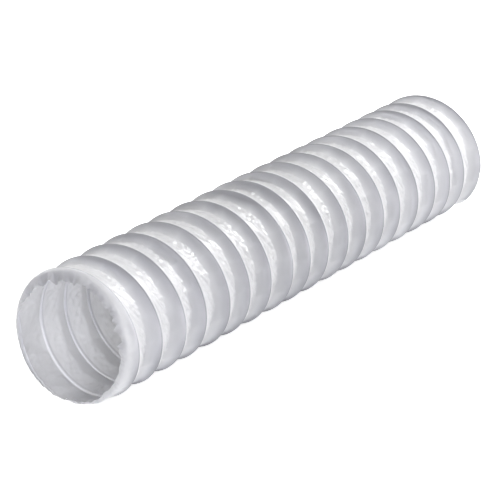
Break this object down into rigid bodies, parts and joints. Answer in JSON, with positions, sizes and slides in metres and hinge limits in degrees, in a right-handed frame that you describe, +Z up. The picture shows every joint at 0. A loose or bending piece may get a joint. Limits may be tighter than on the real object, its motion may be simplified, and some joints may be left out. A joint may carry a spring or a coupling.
{
  "type": "flexible air duct",
  "caption": "Flexible ventilation duct: white plastic film wound on a spring-wire helix, open at both ends, that draws out, pushes together and bends.",
  "frame": {"origin": "centre of the near mouth, on the duct's axis", "axes": "+X along the duct's axis from the near mouth to the far mouth, +Z up as the duct lies on a surface, +Y to the left seen from the near mouth"},
  "size_m": [0.49, 0.1046, 0.1045],
  "materials": {
    "film": "white semi-gloss plastic film, finely crinkled",
    "spring_wire": "drawn spring steel wire"
  },
  "bodies": {
    "turn_01": {"near_cuff": "film", "wire_turn_01": "spring_wire"},
    "film_01": {"film_turn_01": "film"},
    "turn_02": {"wire_turn_02": "spring_wire"},
    "film_02": {"film_turn_02": "film"},
    "turn_03": {"wire_turn_03": "spring_wire"},
    "film_03": {"film_turn_03": "film"},
    "turn_04": {"wire_turn_04": "spring_wire"},
    "film_04": {"film_turn_04": "film"},
    "turn_05": {"wire_turn_05": "spring_wire"},
    "film_05": {"film_turn_05": "film"},
    "turn_06": {"wire_turn_06": "spring_wire"},
    "film_06": {"film_turn_06": "film"},
    "turn_07": {"wire_turn_07": "spring_wire"},
    "film_07": {"film_turn_07": "film"},
    "turn_08": {"wire_turn_08": "spring_wire"},
    "film_08": {"film_turn_08": "film"},
    "turn_09": {"wire_turn_09": "spring_wire"},
    "film_09": {"film_turn_09": "film"},
    "turn_10": {"wire_turn_10": "spring_wire"},
    "film_10": {"film_turn_10": "film"},
    "turn_11": {"wire_turn_11": "spring_wire"},
    "film_11": {"film_turn_11": "film"},
    "turn_12": {"wire_turn_12": "spring_wire"},
    "film_12": {"film_turn_12": "film"},
    "turn_13": {"wire_turn_13": "spring_wire"},
    "film_13": {"film_turn_13": "film"},
    "turn_14": {"wire_turn_14": "spring_wire"},
    "film_14": {"film_turn_14": "film"},
    "turn_15": {"wire_turn_15": "spring_wire"},
    "film_15": {"film_turn_15": "film"},
    "turn_16": {"wire_turn_16": "spring_wire"},
    "film_16": {"film_turn_16": "film"},
    "turn_17": {"wire_turn_17": "spring_wire"},
    "film_17": {"film_turn_17": "film"},
    "turn_18": {"wire_turn_18": "spring_wire"},
    "film_18": {"film_turn_18": "film"},
    "turn_19": {"wire_turn_19": "spring_wire", "far_cuff": "film"}
  },
  "joints": [
    {"name": "stretch_01", "type": "slide", "parent": "turn_01", "child": "film_01", "axis": [1, 0, 0], "range_m": [-0.0145, 0], "deforming": ["film_turn_01"]},
    {"name": "bend_01", "type": "hinge", "parent": "film_01", "child": "turn_02", "pos_m": [0.04135, 0, 0], "axis": [0, 0, 1], "range_deg": [-5, 5]},
    {"name": "stretch_02", "type": "slide", "parent": "turn_02", "child": "film_02", "axis": [1, 0, 0], "range_m": [-0.016, 0], "deforming": ["film_turn_02"]},
    {"name": "bend_02", "type": "hinge", "parent": "film_02", "child": "turn_03", "pos_m": [0.06935, 0, 0], "axis": [0, 0, 1], "range_deg": [-5, 5]},
    {"name": "stretch_03", "type": "slide", "parent": "turn_03", "child": "film_03", "axis": [1, 0, 0], "range_m": [-0.0125, 0], "deforming": ["film_turn_03"]},
    {"name": "bend_03", "type": "hinge", "parent": "film_03", "child": "turn_04", "pos_m": [0.09385, 0, 0], "axis": [0, 0, 1], "range_deg": [-5, 5]},
    {"name": "stretch_04", "type": "slide", "parent": "turn_04", "child": "film_04", "axis": [1, 0, 0], "range_m": [-0.017, 0], "deforming": ["film_turn_04"]},
    {"name": "bend_04", "type": "hinge", "parent": "film_04", "child": "turn_05", "pos_m": [0.12285, 0, 0], "axis": [0, 0, 1], "range_deg": [-5, 5]},
    {"name": "stretch_05", "type": "slide", "parent": "turn_05", "child": "film_05", "axis": [1, 0, 0], "range_m": [-0.013, 0], "deforming": ["film_turn_05"]},
    {"name": "bend_05", "type": "hinge", "parent": "film_05", "child": "turn_06", "pos_m": [0.14785, 0, 0], "axis": [0, 0, 1], "range_deg": [-5, 5]},
    {"name": "stretch_06", "type": "slide", "parent": "turn_06", "child": "film_06", "axis": [1, 0, 0], "range_m": [-0.015, 0], "deforming": ["film_turn_06"]},
    {"name": "bend_06", "type": "hinge", "parent": "film_06", "child": "turn_07", "pos_m": [0.17485, 0, 0], "axis": [0, 0, 1], "range_deg": [-5, 5]},
    {"name": "stretch_07", "type": "slide", "parent": "turn_07", "child": "film_07", "axis": [1, 0, 0], "range_m": [-0.0165, 0], "deforming": ["film_turn_07"]},
    {"name": "bend_07", "type": "hinge", "parent": "film_07", "child": "turn_08", "pos_m": [0.20335, 0, 0], "axis": [0, 0, 1], "range_deg": [-5, 5]},
    {"name": "stretch_08", "type": "slide", "parent": "turn_08", "child": "film_08", "axis": [1, 0, 0], "range_m": [-0.011, 0], "deforming": ["film_turn_08"]},
    {"name": "bend_08", "type": "hinge", "parent": "film_08", "child": "turn_09", "pos_m": [0.22635, 0, 0], "axis": [0, 0, 1], "range_deg": [-5, 5]},
    {"name": "stretch_09", "type": "slide", "parent": "turn_09", "child": "film_09", "axis": [1, 0, 0], "range_m": [-0.0125, 0], "deforming": ["film_turn_09"]},
    {"name": "bend_09", "type": "hinge", "parent": "film_09", "child": "turn_10", "pos_m": [0.25085, 0, 0], "axis": [0, 0, 1], "range_deg": [-5, 5]},
    {"name": "stretch_10", "type": "slide", "parent": "turn_10", "child": "film_10", "axis": [1, 0, 0], "range_m": [-0.0155, 0], "deforming": ["film_turn_10"]},
    {"name": "bend_10", "type": "hinge", "parent": "film_10", "child": "turn_11", "pos_m": [0.27835, 0, 0], "axis": [0, 0, 1], "range_deg": [-5, 5]},
    {"name": "stretch_11", "type": "slide", "parent": "turn_11", "child": "film_11", "axis": [1, 0, 0], "range_m": [-0.013, 0], "deforming": ["film_turn_11"]},
    {"name": "bend_11", "type": "hinge", "parent": "film_11", "child": "turn_12", "pos_m": [0.30335, 0, 0], "axis": [0, 0, 1], "range_deg": [-5, 5]},
    {"name": "stretch_12", "type": "slide", "parent": "turn_12", "child": "film_12", "axis": [1, 0, 0], "range_m": [-0.0135, 0], "deforming": ["film_turn_12"]},
    {"name": "bend_12", "type": "hinge", "parent": "film_12", "child": "turn_13", "pos_m": [0.32885, 0, 0], "axis": [0, 0, 1], "range_deg": [-5, 5]},
    {"name": "stretch_13", "type": "slide", "parent": "turn_13", "child": "film_13", "axis": [1, 0, 0], "range_m": [-0.0115, 0], "deforming": ["film_turn_13"]},
    {"name": "bend_13", "type": "hinge", "parent": "film_13", "child": "turn_14", "pos_m": [0.35235, 0, 0], "axis": [0, 0, 1], "range_deg": [-5, 5]},
    {"name": "stretch_14", "type": "slide", "parent": "turn_14", "child": "film_14", "axis": [1, 0, 0], "range_m": [-0.015, 0], "deforming": ["film_turn_14"]},
    {"name": "bend_14", "type": "hinge", "parent": "film_14", "child": "turn_15", "pos_m": [0.37935, 0, 0], "axis": [0, 0, 1], "range_deg": [-5, 5]},
    {"name": "stretch_15", "type": "slide", "parent": "turn_15", "child": "film_15", "axis": [1, 0, 0], "range_m": [-0.0135, 0], "deforming": ["film_turn_15"]},
    {"name": "bend_15", "type": "hinge", "parent": "film_15", "child": "turn_16", "pos_m": [0.40485, 0, 0], "axis": [0, 0, 1], "range_deg": [-5, 5]},
    {"name": "stretch_16", "type": "slide", "parent": "turn_16", "child": "film_16", "axis": [1, 0, 0], "range_m": [-0.011, 0], "deforming": ["film_turn_16"]},
    {"name": "bend_16", "type": "hinge", "parent": "film_16", "child": "turn_17", "pos_m": [0.42785, 0, 0], "axis": [0, 0, 1], "range_deg": [-5, 5]},
    {"name": "stretch_17", "type": "slide", "parent": "turn_17", "child": "film_17", "axis": [1, 0, 0], "range_m": [-0.01, 0], "deforming": ["film_turn_17"]},
    {"name": "bend_17", "type": "hinge", "parent": "film_17", "child": "turn_18", "pos_m": [0.44985, 0, 0], "axis": [0, 0, 1], "range_deg": [-5, 5]},
    {"name": "stretch_18", "type": "slide", "parent": "turn_18", "child": "film_18", "axis": [1, 0, 0], "range_m": [-0.014, 0], "deforming": ["film_turn_18"]},
    {"name": "bend_18", "type": "hinge", "parent": "film_18", "child": "turn_19", "pos_m": [0.47585, 0, 0], "axis": [0, 0, 1], "range_deg": [-5, 5]}
  ],
  "couplings": [
    {"joint": "stretch_02", "follows": "stretch_01", "ratio": 1.1034},
    {"joint": "bend_02", "follows": "bend_01", "ratio": 1},
    {"joint": "stretch_03", "follows": "stretch_01", "ratio": 0.86206},
    {"joint": "bend_03", "follows": "bend_01", "ratio": 1},
    {"joint": "stretch_04", "follows": "stretch_01", "ratio": 1.1724},
    {"joint": "bend_04", "follows": "bend_01", "ratio": 1},
    {"joint": "stretch_05", "follows": "stretch_01", "ratio": 0.89655},
    {"joint": "bend_05", "follows": "bend_01", "ratio": 1},
    {"joint": "stretch_06", "follows": "stretch_01", "ratio": 1.0345},
    {"joint": "bend_06", "follows": "bend_01", "ratio": 1},
    {"joint": "stretch_07", "follows": "stretch_01", "ratio": 1.1379},
    {"joint": "bend_07", "follows": "bend_01", "ratio": 1},
    {"joint": "stretch_08", "follows": "stretch_01", "ratio": 0.75862},
    {"joint": "bend_08", "follows": "bend_01", "ratio": 1},
    {"joint": "stretch_09", "follows": "stretch_01", "ratio": 0.86206},
    {"joint": "bend_09", "follows": "bend_01", "ratio": 1},
    {"joint": "stretch_10", "follows": "stretch_01", "ratio": 1.069},
    {"joint": "bend_10", "follows": "bend_01", "ratio": 1},
    {"joint": "stretch_11", "follows": "stretch_01", "ratio": 0.89655},
    {"joint": "bend_11", "follows": "bend_01", "ratio": 1},
    {"joint": "stretch_12", "follows": "stretch_01", "ratio": 0.93103},
    {"joint": "bend_12", "follows": "bend_01", "ratio": 1},
    {"joint": "stretch_13", "follows": "stretch_01", "ratio": 0.7931},
    {"joint": "bend_13", "follows": "bend_01", "ratio": 1},
    {"joint": "stretch_14", "follows": "stretch_01", "ratio": 1.0345},
    {"joint": "bend_14", "follows": "bend_01", "ratio": 1},
    {"joint": "stretch_15", "follows": "stretch_01", "ratio": 0.93103},
    {"joint": "bend_15", "follows": "bend_01", "ratio": 1},
    {"joint": "stretch_16", "follows": "stretch_01", "ratio": 0.75862},
    {"joint": "bend_16", "follows": "bend_01", "ratio": 1},
    {"joint": "stretch_17", "follows": "stretch_01", "ratio": 0.68965},
    {"joint": "bend_17", "follows": "bend_01", "ratio": 1},
    {"joint": "stretch_18", "follows": "stretch_01", "ratio": 0.96551},
    {"joint": "bend_18", "follows": "bend_01", "ratio": 1}
  ]
}
